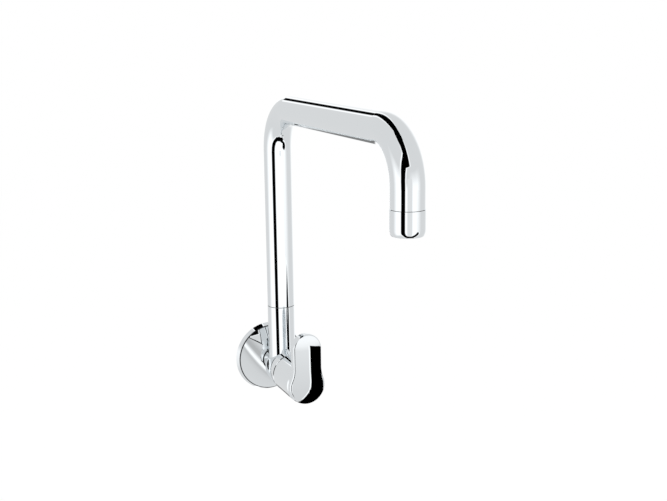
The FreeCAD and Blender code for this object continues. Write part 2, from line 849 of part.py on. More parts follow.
def makeSwivelRings():
    radius = size.stubBore - size.slipGap - size.ringSection
    spots = (size.ringLow, size.ringLow + size.ringPitch)
    return grouped("swivel_o_rings", [
        roundRing(f"swivel_ring_{number}", radius, size.ringSection,
                  (0, -size.riserOut, spot), UP)
        for number, spot in enumerate(spots)])


def makeSwivelGuides():
    outer = size.stubBore - size.slipGap
    inner = nippleRadius - size.guideDeep
    spots = (size.guideLow, size.guideLow + size.guidePitch)
    return grouped("swivel_guide_rings", [
        washer(f"swivel_guide_{number}", inner, outer, spot + size.slipGap,
               spot + size.guideHigh - size.slipGap, RISER, UP)
        for number, spot in enumerate(spots)])


def makeFerrule():
    hold = tubeBore - size.seatGap
    thread = size.ferruleThread - size.seatGap
    return turned("outlet_ferrule", [
        (size.ferruleBore, ferruleFoot),
        (thread, ferruleFoot),
        (thread, tubeEnd),
        (hold, tubeEnd),
        (hold, tubeEnd + size.ferruleHold),
        (size.ferruleBore, tubeEnd + size.ferruleHold)], OUTLET, UP)


def makeAeratorHousing():
    body = newBody("aerator_housing", OUTLET, UP)
    curve, high = size.aeratorCurve, size.aeratorCurveHigh
    foot = size.aeratorRadius - curve + root(curve * curve - high * high)
    shell = revolved(body, [
        (size.aeratorMouth, aeratorFoot),
        (foot, aeratorFoot),
        (size.aeratorRadius, aeratorFoot + high, curve),
        (size.aeratorRadius, tubeEnd - size.aeratorGap),
        (size.ferruleThread, tubeEnd - size.aeratorGap),
        (size.ferruleThread, aeratorShelf),
        (size.aeratorMouth, aeratorShelf)])
    doc.recompute()
    rounded(body, shell, circlesAt(shell.Shape, foot, aeratorFoot), size.aeratorRound)
    return body


def makeAeratorWasher():
    return washer("aerator_washer", size.ferruleBore, cageRadius - size.seatGap,
                  ferruleFoot - size.packingThick, ferruleFoot, OUTLET, UP)


def makeAeratorCage():
    # a cup whose floor is the grid that the water leaves by
    outer = cageRadius - size.seatGap
    high = ferruleFoot - size.packingThick - aeratorShelf
    spot = (0, OUTLET[1], aeratorShelf)
    body = newBody("aerator_cage", spot, UP)
    revolved(body, [
        (0, 0), (outer, 0), (outer, high), (outer - size.cageWall, high),
        (outer - size.cageWall, size.gridThick), (0, size.gridThick)])
    doc.recompute()
    through = size.gridThick + size.past
    rings = (("inner", size.gridInner, size.gridInnerHoles),
             ("outer", size.gridOuter, size.gridOuterHoles))
    for name, out, count in rings:
        patternOfHoles(body, f"cage_{name}_hole", (out, size.gridHole),
                       size.gridThick + size.past / 2, through, count)
    return body


def makeScreens():
    radius = cageRadius - size.cageWall - 2 * size.seatGap
    low = aeratorShelf + size.gridThick
    return grouped("aerator_screens", [
        rod(f"screen_{number}", radius, low + number * size.screenThick,
            low + (number + 1) * size.screenThick, OUTLET, UP)
        for number in range(2)])


def makeRegulator():
    radius = cageRadius - size.cageWall - 2 * size.seatGap
    low = aeratorShelf + size.gridThick + 2 * size.screenThick
    return washer("flow_regulator", size.regulatorBore, radius, low,
                  ferruleFoot - size.packingThick, OUTLET, UP)


PIECES = [makeValveBody, makeFlange, makeGasket, makeGripRing, makeSeatSeal, makeHeadworkBody,
          makeHeadworkWasher, makeFixedDisc, makeThrustWasher, makeGuideRing, makeSlipRing,
          makeKeeperScrew, makeSpindle, makeTurningDisc, makeStemRings, makeCirclip, makeHandle,
          makeGrubScrew, makeSpoutTube, makeSwivelNipple, makeSwivelRings, makeSwivelGuides,
          makeFerrule, makeAeratorHousing, makeAeratorWasher, makeAeratorCage, makeScreens,
          makeRegulator]


def checkAndExport(pieces):
    doc.recompute()
    for item in doc.Objects:
        if "Invalid" in item.State or "Error" in item.State:
            raise RuntimeError(f"{item.Label} failed: {item.State}")
    for piece in pieces:
        shape = piece.Shape
        if shape.isNull() or not shape.isValid() or not shape.Solids:
            raise RuntimeError(f"{piece.Label} has no sound solid")
    os.makedirs("parts", exist_ok=True)
    for piece in pieces:
        piece.Shape.exportStep(f"parts/{piece.Label}.step")
        box = piece.Shape.BoundBox
        print(f"{piece.Label}: {len(piece.Shape.Solids)} solid, {piece.Shape.Volume:.1f} mm3,"
              f" y {box.YMin:.2f} to {box.YMax:.2f}, z {box.ZMin:.2f} to {box.ZMax:.2f}")


checkAndExport([make() for make in PIECES])
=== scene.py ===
import bpy
import bmesh
import math
from mathutils import Matrix, Vector


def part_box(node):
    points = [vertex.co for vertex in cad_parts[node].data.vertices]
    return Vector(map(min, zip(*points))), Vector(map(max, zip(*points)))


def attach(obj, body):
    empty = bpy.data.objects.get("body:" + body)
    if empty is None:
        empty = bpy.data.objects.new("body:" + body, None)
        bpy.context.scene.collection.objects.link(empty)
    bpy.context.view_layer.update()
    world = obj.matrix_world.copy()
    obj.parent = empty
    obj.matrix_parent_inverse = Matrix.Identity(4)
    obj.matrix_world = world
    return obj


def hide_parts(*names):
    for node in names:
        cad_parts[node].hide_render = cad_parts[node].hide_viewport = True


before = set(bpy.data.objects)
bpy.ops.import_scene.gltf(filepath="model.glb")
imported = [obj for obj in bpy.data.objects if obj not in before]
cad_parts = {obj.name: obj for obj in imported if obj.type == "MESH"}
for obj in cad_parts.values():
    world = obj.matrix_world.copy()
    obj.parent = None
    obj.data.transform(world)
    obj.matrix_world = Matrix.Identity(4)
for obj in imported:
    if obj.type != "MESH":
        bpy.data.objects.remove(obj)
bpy.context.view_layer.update()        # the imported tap: wall plane y = 0, spout towards -y, z up, metres
print("frame loaded:", len(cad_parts), "nodes")

mm = 0.001

# axes of the turned pieces, each as a point on it in mm
inletAxis = (0, 0, 0)            # this and the keeper's run along y
keeperAxis = (0, 0, 50)
riserAxis = (0, -36, 0)          # the others are upright
grubAxis = (0, -85, 0)
outletAxis = (0, -286, 0)


class Wire:
    # one output socket, used in Python expressions that add Math nodes
    def __init__(self, tree, socket=None):
        self.tree = tree
        self.socket = socket

    def node(self, kind, settings=None, sockets=None, output=0):
        made = self.tree.nodes.new(kind)
        for name, value in (settings or {}).items():
            if name == "stops":
                setStops(made.color_ramp, value)
            else:
                setattr(made, name, value)
        for name, value in (sockets or {}).items():
            if isinstance(value, Wire):
                self.tree.links.new(value.socket, made.inputs[name])
            else:
                made.inputs[name].default_value = value
        return Wire(self.tree, made.outputs[output] if len(made.outputs) else None)

    def other(self, output):
        # another output of the same node
        return Wire(self.tree, self.socket.node.outputs[output])

    def maths(self, operation, *values):
        return self.node("ShaderNodeMath", {"operation": operation}, dict(enumerate(values)))

    def __add__(self, other):
        return self.maths("ADD", self, other)

    def __radd__(self, other):
        return self.maths("ADD", other, self)

    def __sub__(self, other):
        return self.maths("SUBTRACT", self, other)

    def __rsub__(self, other):
        return self.maths("SUBTRACT", other, self)

    def __mul__(self, other):
        return self.maths("MULTIPLY", self, other)

    def __rmul__(self, other):
        return self.maths("MULTIPLY", other, self)

    def __truediv__(self, other):
        return self.maths("DIVIDE", self, other)

    def __rtruediv__(self, other):
        return self.maths("DIVIDE", other, self)

    def atLeast(self, other):
        return self.maths("MAXIMUM", self, other)

    def atMost(self, other):
        return self.maths("MINIMUM", self, other)

    def lessThan(self, other):
        return self.maths("LESS_THAN", self, other)

    def moreThan(self, other):
        return self.maths("GREATER_THAN", self, other)

    def above(self, edge, soft):
        # 0 below the edge and 1 above it, with a ramp that is soft wide
        rise = (self - edge) / soft + 0.5
        return rise.atLeast(0).atMost(1)

    def below(self, edge, soft):
        return 1 - self.above(edge, soft)

    def lookUp(self, points, span=(0, 1)):
        # a line through (place, height) points, for heights from span[0] to span[1]
        low, high = points[0][0], points[-1][0]
        stops = [((place - low) / (high - low), (height - span[0]) / (span[1] - span[0]))
                 for place, height in points]
        ramp = self.node("ShaderNodeValToRGB", {"stops": stops}, {0: (self - low) / (high - low)})
        return ramp * (span[1] - span[0]) + span[0]

    def between(self, low, high):
        # a colour on the way from one colour to another
        ends = [colour if isinstance(colour, Wire) else (*colour, 1) for colour in (low, high)]
        return self.node("ShaderNodeMix", {"data_type": "RGBA"},
                         {0: self, 6: ends[0], 7: ends[1]}, output=2)

    def stretched(self, factors):
        return self.node("ShaderNodeVectorMath", {"operation": "MULTIPLY"},
                         {0: self, 1: factors})

    def split(self):
        parts = self.node("ShaderNodeSeparateXYZ", sockets={0: self})
        return parts, parts.other(1), parts.other(2)

    def noise(self, scale, detail=2.0, roughness=0.5):
        return self.node("ShaderNodeTexNoise", sockets={
            "Vector": self, "Scale": scale, "Detail": detail, "Roughness": roughness})


def grey(level):
    return (level, level, level, 1)


def setStops(ramp, stops):
    while len(ramp.elements) > 1:
        ramp.elements.remove(ramp.elements[-1])
    for number, (place, value) in enumerate(stops):
        element = ramp.elements.new(place) if number else ramp.elements[0]
        element.position = place
        element.color = grey(value)


def linear(shade):
    # a screen shade from 0 to 255 as a light level
    level = shade / 255
    return level / 12.92 if level <= 0.04045 else ((level + 0.055) / 1.055) ** 2.4


camera = {
    "place": (-327.5, -900.1, 316.1),     # mm, from a fit to the photograph's edges
    "turn": -23.835,                      # degrees off the square-on view
    "tilt": 12.51,                        # degrees downwards
    "roll": 0.665,
    "lens": 55.23,
    "nearest": 0.01,                      # m, where its view starts
}


def buildCamera():
    turn, tilt, roll = (math.radians(camera[name]) for name in ("turn", "tilt", "roll"))
    ahead = Vector((-math.sin(turn) * math.cos(tilt), math.cos(turn) * math.cos(tilt),
                    -math.sin(tilt)))
    side = Vector((math.cos(turn), math.sin(turn), 0))
    under = ahead.cross(side)
    right = math.cos(roll) * side + math.sin(roll) * under
    down = math.cos(roll) * under - math.sin(roll) * side
    data = bpy.data.cameras.new("photoCamera")
    data.lens = camera["lens"]
    data.clip_start = camera["nearest"]
    body = bpy.data.objects.new("photoCamera", data)
    bpy.context.scene.collection.objects.link(body)
    axes = Matrix((right, -down, -ahead)).transposed().to_4x4()
    body.matrix_world = Matrix.Translation(Vector(camera["place"]) * mm) @ axes
    bpy.context.scene.camera = body


bpy.context.scene.view_settings.view_transform = "Standard"
buildCamera()
print("camera set")


# A noise is given as its scale, detail and roughness, and a depth of relief in mm.
chromeLook = {
    "shade": (0.842, 0.872, 0.892),
    "haze": (60.0, 3.0), "rough": 0.016, "roughSpread": 0.016,
    "peel": (140.0, 1.0), "depth": 0.004,      # the faint waves of a buffed surface
}


def chromeLevel(shade):
    # the light level that gives this screen shade in the chrome
    return linear(shade) / chromeLook["shade"][1]


studio = {
    "walls": 214,         # screen shade that the tent's plain walls give in chrome
    "white": 1.045,       # light level of its bright parts
    "plain": 0.86,        # what falls on dull surfaces
    "soft": 2.5,          # degrees over which a dark board's edge fades
    "margin": 6.0,        # bright border beside the dark boards, in degrees
    "turns": (-180, 180),          # azimuths of the boards before the wall
    "skyLeft": 170, "skyTurns": (160, 370),      # and of the one behind and above
}

# The tent's dark boards, as (elevation, azimuth) of their edges in degrees.
# Azimuth 0 is straight out from the wall, and grows to the right.
darkEdges = {
    "skyRight": [(-90, 165), (17, 165), (20, 180), (35, 185), (45, 195), (55, 208),
                 (63, 225), (69, 250), (72, 365), (90, 365)],
    "postLeft": [(-90, -30), (-62, -30), (-55, -52), (-40, -62), (-25, -69.5), (0, -70.5),
                 (15, -66), (25, -60), (35, -51), (45, -42), (55, -52), (62, -75),
                 (69, -110), (90, -178)],
    "postRight": [(-90, -40), (-65, -40), (-62, 24), (-47, 24), (-44, -28), (-35, -38.5),
                  (-20, -42.5), (-10, -43.5), (5, -42), (15, -38), (24, -31), (28, -4),
                  (90, -3)],
    "armLeft": [(-90, 0), (-46, 0), (-43, 6), (-35, 18), (-25, 27), (-15, 33), (-13, 38),
                (90, 38)],
    "armRight": [(-90, -2), (-62, 2), (-55, 28), (-45, 40), (-35, 46), (-25, 50), (-16, 48),
                 (-13, 38), (-12, 0), (90, 0)],
}

# Softer parts of the tent: azimuths, elevations, how softly each way, and how strongly
brightParts = [
    (-50, 33, -48, -1, 6, 5, 1.0),
    (-8, 50, -18, 9, 26, 22, 1.0),
    (-115, -60, -36, 9, 24, 14, 1.0),
    (118, 168, -28, 24, 24, 18, 0.7),
]
dimPart = (157, 176, -30, -17, 5, 4, 0.8)     # a dark sill low behind the level run


def tentLight(direction):
    # the light that chrome sees in one direction
    x, y, z = direction.split()
    azimuth = x.maths("ARCTAN2", x, y * -1) * math.degrees(1)
    elevation = z.maths("ARCSINE", z) * math.degrees(1)
    wrapped = azimuth.lessThan(0) * 360 + azimuth

    def edge(name, turns=studio["turns"]):
        return elevation.lookUp(darkEdges[name], turns)

    boards = [(wrapped, studio["skyLeft"], edge("skyRight", studio["skyTurns"])),
              (azimuth, edge("postLeft"), edge("postRight")),
              (azimuth, edge("armLeft"), edge("armRight"))]

    def covered(extra):
        total = None
        for angle, low, high in boards:
            inside = (angle.above(low - extra, studio["soft"])
                      * (high + extra - angle).above(0, studio["soft"]))
            total = inside if total is None else total.atLeast(inside)
        return total

    def patch(left, right, low, high, softAcross, softUp, share):
        across = azimuth.above(left, softAcross) * azimuth.below(right, softAcross)
        return across * elevation.above(low, softUp) * elevation.below(high, softUp) * share

    bright = covered(studio["margin"])
    for part in brightParts:
        bright = bright.atLeast(patch(*part))
    walls = linear(studio["walls"])
    level = bright * (studio["white"] - walls) + walls
    return level * (1 - covered(0)) * (1 - patch(*dimPart))


def buildWorld():
    world = bpy.data.worlds.new("studio")
    bpy.context.scene.world = world
    world.use_nodes = True
    tree = world.node_tree
    tree.nodes.clear()
    start = Wire(tree)
    isCamera = start.node("ShaderNodeLightPath")
    isDiffuse = isCamera.other("Is Diffuse Ray")
    direction = start.node("ShaderNodeTexCoord")
    tent = tentLight(direction) / chromeLook["shade"][1]
    seen = tent * (1 - isDiffuse) + isDiffuse * studio["plain"]
    level = seen * (1 - isCamera) + isCamera
    glow = start.node("ShaderNodeBackground", sockets={"Color": grey(1), "Strength": level})
    start.node("ShaderNodeOutputWorld", sockets={"Surface": glow})


def newMaterial(name):
    look = bpy.data.materials.new(name)
    look.use_nodes = True
    look.node_tree.nodes.clear()
    return look, Wire(look.node_tree)


def newObject(name, data, look):
    piece = bpy.data.objects.new(name, data)
    bpy.context.scene.collection.objects.link(piece)
    data.materials.append(look)
    return piece


def stagePiece(name, corners, faces, look):
    mesh = bpy.data.meshes.new(name)
    mesh.from_pydata([Vector(corner) * mm for corner in corners], [], faces)
    mesh.update()
    newObject(name, mesh, look)


# Far below the tap, so only a breath of shadow falls on it. The glow's share is what the
# camera sees of a white light in the floor's place.
paleFloor = {"half": 6000, "z": -750, "shade": 0.9, "glow": 1.03, "glowShare": 0.88}


def buildFloor():
    floor = paleFloor
    look, start = newMaterial("paleFloor")
    isCamera = start.node("ShaderNodeLightPath")
    pale = start.node("ShaderNodeBsdfDiffuse", sockets={"Color": grey(floor["shade"])})
    white = start.node("ShaderNodeEmission",
                       sockets={"Color": grey(1), "Strength": floor["glow"]})
    shown = start.node("ShaderNodeMixShader", sockets={0: floor["glowShare"], 1: pale, 2: white})
    lit = start.node("ShaderNodeMixShader", sockets={0: isCamera, 1: pale, 2: shown})
    clear = start.node("ShaderNodeBsdfTransparent")
    whole = start.node("ShaderNodeMixShader",
                       sockets={0: isCamera.other("Is Glossy Ray"), 1: lit, 2: clear})
    start.node("ShaderNodeOutputMaterial", sockets={"Surface": whole})
    half, z = floor["half"], floor["z"]
    corners = [(-half, -half, z), (half, -half, z), (half, half, z), (-half, half, z)]
    stagePiece("paleFloor", corners, [(0, 1, 2, 3)], look)


lamp = {"place": (-1.2, -1.4, 1.6), "aim": (0, -0.1, 0.1), "size": 1.6, "power": 14}


def buildLamp():
    data = bpy.data.lights.new("softLamp", "AREA")
    data.energy = lamp["power"]
    data.size = lamp["size"]
    piece = bpy.data.objects.new("softLamp", data)
    bpy.context.scene.collection.objects.link(piece)
    piece.location = lamp["place"]
    towards = Vector(lamp["aim"]) - piece.location
    piece.rotation_euler = towards.to_track_quat("-Z", "Y").to_euler()
    piece.visible_glossy = False


# Boards that stand close to the tap and show in its chrome alone, in mm. The reach of a
# board is how near and how far off it shows, and a tone is screen shades along a line.
# The dark one stands round the right of the lever's blade, and the pale one before it.
leverDark = {
    "y": -115, "back": -72, "right": 30, "foot": -30,
    "edge": [(7.4, 36.8), (8.0, 30), (8.5, 10), (9.3, 0), (8.2, -6.7), (5.4, -13.3),
             (1.4, -21.2), (-3.0, -30)],
    "top": [(30, 31), (24.6, 32.3), (14.5, 34.9)],
    "under": [(-11, -72), (-11, -102), (-8.9, -109), (-5, -113)],
    "reach": (0, 34), "sideReach": (17.8, 34),
    "rimWide": 2.2, "rimLift": 0.5, "rimShade": 256, "rimReach": (0, 60),
}
leverPale = {
    "y": -116, "reach": (0, 60), "outline": [(-25, -60), (60, -60), (60, 80), (-25, 80)],
    "tone": [(-60, 208), (-10, 211), (12, 219), (30, 226), (37, 243), (44, 251), (80, 251)],
}
# The flange's board ends in a rim line, and carries the bright and the grey streak.
flangePale = {
    "y": -26, "reach": (0, 400),
    "outline": [(-60, 44), (-30, 32), (-14, 22), (-9, 17.5), (-13.5, 0), (-12, -7),
                (-7, -12), (0, -14), (50, -14), (50, -130), (-60, -130)],
    "streakAt": (-34.2, 14.4), "streakAcross": (0.761, 0.648),
    "tone": [(-40, 214), (-14, 210), (-8, 203), (-4.4, 190), (-2.6, 210), (-0.8, 256),
             (1.6, 256), (3.6, 224), (6, 183), (10, 180), (14, 196), (17, 208)],
    "rimAt": (-30, 32), "rimAcross": (0.553, 0.833), "rimWide": 1.2, "rimSoft": 0.5,
}
# A dark strip far to the right shows low in the riser, and a pale one before the outlet.
riserStrip = {"y": -118, "reach": (66, 1000), "shade": 0,
              "outline": [(60, -12), (36, -12), (28, 46), (32, 46)]}
outletPale = {"y": -398, "reach": (0, 170), "shade": 224,
              "outline": [(-64, 80), (0, 80), (0, 230), (-64, 230)]}
brightest = 1.3          # the highest light level of a tone


def boardLook(name, tone, reach, oneSided=False):
    # only chrome at the right distance sees a board: every other ray passes through it
    look, start = newMaterial(name)
    spot = start.node("ShaderNodeTexCoord").other("Object")
    glow = start.node("ShaderNodeEmission", sockets={"Color": tone(spot), "Strength": 1.0})
    rays = start.node("ShaderNodeLightPath")
    away = rays.other("Ray Length") / mm
    shows = rays.other("Is Glossy Ray") * away.moreThan(reach[0]) * away.lessThan(reach[1])
    if oneSided:
        shows = shows * (1 - start.node("ShaderNodeNewGeometry").other("Backfacing"))
    clear = start.node("ShaderNodeBsdfTransparent")
    whole = start.node("ShaderNodeMixShader", sockets={0: shows, 1: clear, 2: glow})
    start.node("ShaderNodeOutputMaterial", sockets={"Surface": whole})
    return look


def shadeLine(value, points):
    levels = [(place, chromeLevel(shade)) for place, shade in points]
    return value.lookUp(levels, (0, brightest))


def plainTone(shade):
    return lambda spot: grey(chromeLevel(shade))


def leverPaleTone(spot):
    return shadeLine(spot.split()[2] / mm, leverPale["tone"])


def flangePaleTone(spot):
    look = flangePale
    x, _, z = spot.split()

    def across(start, way):
        return (x / mm - start[0]) * way[0] + (z / mm - start[1]) * way[1]

    streaks = shadeLine(across(look["streakAt"], look["streakAcross"]), look["tone"])
    rim = across(look["rimAt"], look["rimAcross"])
    return streaks * rim.below(-look["rimWide"], look["rimSoft"])


def flatBoard(name, look, tone, oneSided=False):
    corners = [(x, look["y"], z) for x, z in look["outline"]]
    stagePiece(name, corners, [tuple(range(len(corners)))],
               boardLook(name, tone, look["reach"], oneSided))


def buildLeverBoards():
    look = leverDark
    y, back, right, foot = look["y"], look["back"], look["right"], look["foot"]
    head = look["top"][0][1]
    front = [(x, y, z) for x, z in look["edge"]] + [(right, y, foot)]
    front += [(x, y, z) for x, z in look["top"]]
    behind = [(right, back, foot)] + [(x, away, foot) for x, away in look["under"]]
    corner, count = len(look["edge"]), len(front)
    faces = [tuple(range(count)),
             (corner - 1, corner, *range(count, count + len(behind)))]
    stagePiece("leverDark", front + behind, faces,
               boardLook("leverDark", plainTone(0), look["reach"]))
    side = [(right, y, foot), (right, back, foot), (right, back, head), (right, y, head)]
    stagePiece("leverSide", side, [(0, 1, 2, 3)],
               boardLook("leverSide", plainTone(0), look["sideReach"]))

    # a bright line along the dark board's edge
    lift = look["rimLift"]
    inner = [(x + lift, y - lift, z) for x, z in look["edge"]]
    outer = [(x - look["rimWide"], y - lift, z) for x, z in look["edge"]]
    strip = [(step, step + 1, corner + step + 1, corner + step) for step in range(corner - 1)]
    stagePiece("leverRim", inner + outer, strip,
               boardLook("leverRim", plainTone(look["rimShade"]), look["rimReach"]))


buildWorld()
buildFloor()
buildLamp()
buildLeverBoards()
flatBoard("leverPale", leverPale, leverPaleTone)
flatBoard("flangePale", flangePale, flangePaleTone, oneSided=True)
flatBoard("riserStrip", riserStrip, plainTone(riserStrip["shade"]))
flatBoard("outletPale", outletPale, plainTone(outletPale["shade"]))
print("studio set")


def finish(name, surface):
    # surface gives colour, metal, rough and height in mm from the place on the object
    look, start = newMaterial(name)
    made = surface(start.node("ShaderNodeTexCoord").other("Object"))
    relief = start.node("ShaderNodeBump", sockets={"Strength": 1.0, "Distance": mm,
                                                   "Height": made["height"]})
    shader = start.node("ShaderNodeBsdfPrincipled", sockets={
        "Base Color": made["colour"], "Metallic": made["metal"], "Roughness": made["rough"],
        "Normal": relief})
    start.node("ShaderNodeOutputMaterial", sockets={"Surface": shader})
    return look


def polish(spot):
    look = chromeLook
    return {"colour": (*look["shade"], 1), "metal": 1.0,
            "rough": spot.noise(*look["haze"]) * look["roughSpread"] + look["rough"],
            "height": spot.noise(*look["peel"]) * look["depth"]}


def roundAxis(spot, axis, along):
    # the distance from an axis, and the place along it, in mm
    parts = [part / mm - start for part, start in zip(spot.split(), axis)]
    sides = [part for part, letter in zip(parts, "xyz") if letter != along]
    square = sides[0] * sides[0] + sides[1] * sides[1]
    return square.maths("SQRT", square), parts["xyz".index(along)]


def latheMarks(spot, axis, along, scale):
    # fine rings round an axis, as a turning tool leaves them
    out, height = roundAxis(spot, axis, along)
    place = spot.node("ShaderNodeCombineXYZ", sockets={0: out, 1: height})
    return place.noise(scale, detail=3.0, roughness=0.7)


brassLook = {
    "shade": (0.80, 0.61, 0.30), "dark": (0.63, 0.44, 0.19),
    "rings": 5.0, "depth": 0.014, "rough": 0.24, "roughSpread": 0.22,
    "tarnish": (90.0, 4.0, 0.6), "tarnishLine": [(0, 0), (0.42, 0.1), (0.62, 0.85), (1, 1)],
    "tarnishShare": 0.7, "tarnishRough": 0.08,
}


def turnedBrass(spot, axis, along):
    look = brassLook
    rings = latheMarks(spot, axis, along, look["rings"])
    tarnish = spot.noise(*look["tarnish"]).lookUp(look["tarnishLine"])
    dulled = tarnish * look["tarnishShare"] + rings * (1 - look["tarnishShare"])
    return {"colour": dulled.between(look["shade"], look["dark"]), "metal": 1.0,
            "rough": rings * look["roughSpread"] + tarnish * look["tarnishRough"] + look["rough"],
            "height": rings * look["depth"]}


zincLook = {
    "shade": (0.52, 0.53, 0.55), "dark": (0.36, 0.37, 0.39),
    "grain": (1500.0, 4.0, 0.7), "grainShare": 0.4, "cloud": (120.0, 3.0),
    "rough": 0.42, "roughSpread": 0.25, "depth": 0.05,
}


def castZinc(spot):
    look = zincLook
    grain, cloud = spot.noise(*look["grain"]), spot.noise(*look["cloud"])
    dulled = grain * look["grainShare"] + cloud * (1 - look["grainShare"])
    return {"colour": dulled.between(look["shade"], look["dark"]), "metal": 1.0,
            "rough": grain * look["roughSpread"] + look["rough"],
            "height": grain * look["depth"]}


def plated(spot, raw, bare):
    # polished plate where bare is 0, and the raw metal under it where bare is 1
    plate = polish(spot)
    return {"colour": bare.between(chromeLook["shade"], raw["colour"]), "metal": 1.0,
            "rough": plate["rough"] * (1 - bare) + raw["rough"] * bare,
            "height": plate["height"] * (1 - bare) + raw["height"] * bare}


# where the plate ends inside the pieces, in mm
plateEnds = {"tailFrom": -3.0, "tailSoft": 0.2, "soft": 0.1, "inletBore": 6.8,
             "handleBore": 15.6, "handleFloor": -91.6,
             "housingBore": 11.1, "housingMouth": 173.4}


def inBore(spot, axis, along, radius, floor):
    out, height = roundAxis(spot, axis, along)
    return out.below(radius, plateEnds["soft"]) * height.above(floor, plateEnds["soft"])


def bodySurface(spot):
    out, height = roundAxis(spot, inletAxis, "y")
    tail = height.above(plateEnds["tailFrom"], plateEnds["tailSoft"])
    bare = tail.atLeast(out.below(plateEnds["inletBore"], plateEnds["soft"]))
    return plated(spot, turnedBrass(spot, inletAxis, "y"), bare)


def handleSurface(spot):
    bare = inBore(spot, inletAxis, "y", plateEnds["handleBore"], plateEnds["handleFloor"])
    return plated(spot, castZinc(spot), bare)


def housingSurface(spot):
    bare = inBore(spot, outletAxis, "z", plateEnds["housingBore"], plateEnds["housingMouth"])
    return plated(spot, turnedBrass(spot, outletAxis, "z"), bare)


# The hollow back of the pressing is dull. A fine dark line is painted round the fold of its
# front edge: painted shade, not a colour of the plate. Facing is the normal's y: 1 is towards the wall.
flangeLook = {
    "backFacing": 0.3, "frontFacing": -0.1, "facingSoft": 0.1,
    "foldFrom": 31.0, "foldTo": 31.9, "foldSoft": 0.2,
    "paintedLineShade": (0.045, 0.047, 0.05), "foldRough": 0.2,
}


def flangeSurface(spot):
    look = flangeLook
    _, facing, _ = spot.node("ShaderNodeNewGeometry").other("Normal").split()
    whole = plated(spot, castZinc(spot), facing.above(look["backFacing"], look["facingSoft"]))
    out, _ = roundAxis(spot, inletAxis, "y")
    # painted shade: a dark ring round the fold, on the front face only
    fold = (out.above(look["foldFrom"], look["foldSoft"])
            * out.below(look["foldTo"], look["foldSoft"])
            * facing.below(look["frontFacing"], look["facingSoft"]))
    whole["colour"] = fold.between(whole["colour"], look["paintedLineShade"])
    whole["rough"] = whole["rough"] + fold * look["foldRough"]
    return whole


# a darker band, in patches, laid on the brass where the outlet's joint shows it
jointDarkLook = {
    "joint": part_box("aerator_housing")[1][2] / mm, "half": 1.0, "from": 10.4, "soft": 0.2,
    "shade": (0.03, 0.028, 0.025), "rough": 0.6,
    "patches": (800.0, 2.0), "patchLine": [(0, 0.75), (1, 1)],
}


def ferruleSurface(spot):
    look = jointDarkLook
    out, height = roundAxis(spot, outletAxis, "z")
    joint = (out.above(look["from"], look["soft"])
             * height.above(look["joint"] - look["half"], look["soft"])
             * height.below(look["joint"] + look["half"], look["soft"]))
    patchy = joint * spot.noise(*look["patches"]).lookUp(look["patchLine"])
    brass = turnedBrass(spot, outletAxis, "z")
    # the brass is made darker in a band at the joint
    brass["colour"] = patchy.between(brass["colour"], look["shade"])
    brass["rough"] = brass["rough"] * (1 - joint) + joint * look["rough"]
    return brass


steelLook = {"shade": (0.62, 0.62, 0.61), "dark": (0.47, 0.47, 0.47),
             "rings": 4.0, "depth": 0.008, "rough": 0.2, "roughSpread": 0.2}


def brightSteel(spot, axis, along):
    look = steelLook
    rings = latheMarks(spot, axis, along, look["rings"])
    return {"colour": rings.between(look["shade"], look["dark"]), "metal": 1.0,
            "rough": rings * look["roughSpread"] + look["rough"],
            "height": rings * look["depth"]}


springLook = {"shade": (0.36, 0.37, 0.40), "dark": (0.20, 0.21, 0.24),
              "mottle": (700.0, 3.0), "scratch": (2400.0, 2.0), "stretch": (1, 8, 1),
              "depth": 0.008, "rough": 0.28, "roughSpread": 0.2}


def springSteel(spot):
    # blued strip with the scratches of its press
    look = springLook
    scratch = spot.stretched(look["stretch"]).noise(*look["scratch"])
    return {"colour": spot.noise(*look["mottle"]).between(look["dark"], look["shade"]),
            "metal": 1.0, "rough": scratch * look["roughSpread"] + look["rough"],
            "height": scratch * look["depth"]}


rubberLook = {"shade": (0.026, 0.026, 0.027), "worn": (0.05, 0.05, 0.052),
              "bloom": (300.0, 3.0), "grain": (6000.0, 2.0), "depth": 0.01,
              "rough": 0.45, "roughSpread": 0.22}


def blackRubber(spot):
    look = rubberLook
    bloom = spot.noise(*look["bloom"])
    return {"colour": bloom.between(look["shade"], look["worn"]), "metal": 0.0,
            "rough": bloom * look["roughSpread"] + look["rough"],
            "height": spot.noise(*look["grain"]) * look["depth"]}


foamLook = {"shade": (0.75, 0.75, 0.74), "paintedPitShade": (0.46, 0.46, 0.45), "cells": 1700.0,
            "pitLine": [(0, 0), (0.35, 0.25), (0.6, 1), (1, 1)], "depth": 0.09,
            "rough": 0.82, "roughSpread": 0.1}


def closedFoam(spot):
    # small round cells, cut open at the surface, with painted shade: the pits are coloured darker
    look = foamLook
    cells = spot.node("ShaderNodeTexVoronoi", sockets={"Vector": spot, "Scale": look["cells"]})
    pits = cells.lookUp(look["pitLine"])
    # painted shade: a darker colour in the pits
    return {"colour": pits.between(look["paintedPitShade"], look["shade"]), "metal": 0.0,
            "rough": pits * look["roughSpread"] + look["rough"],
            "height": pits * look["depth"]}


ceramicLook = {"shade": (0.93, 0.91, 0.87), "speck": (0.80, 0.78, 0.74),
               "specks": (5000.0, 1.0), "speckLine": [(0, 0), (0.62, 0), (0.72, 1), (1, 1)],
               "speckShare": 0.6, "haze": (400.0, 2.0), "rough": 0.14, "roughSpread": 0.12,
               "grain": (9000.0, 2.0), "depth": 0.002}


def lappedCeramic(spot):
    look = ceramicLook
    speck = spot.noise(*look["specks"]).lookUp(look["speckLine"]) * look["speckShare"]
    return {"colour": speck.between(look["shade"], look["speck"]), "metal": 0.0,
            "rough": spot.noise(*look["haze"]) * look["roughSpread"] + look["rough"],
            "height": spot.noise(*look["grain"]) * look["depth"]}


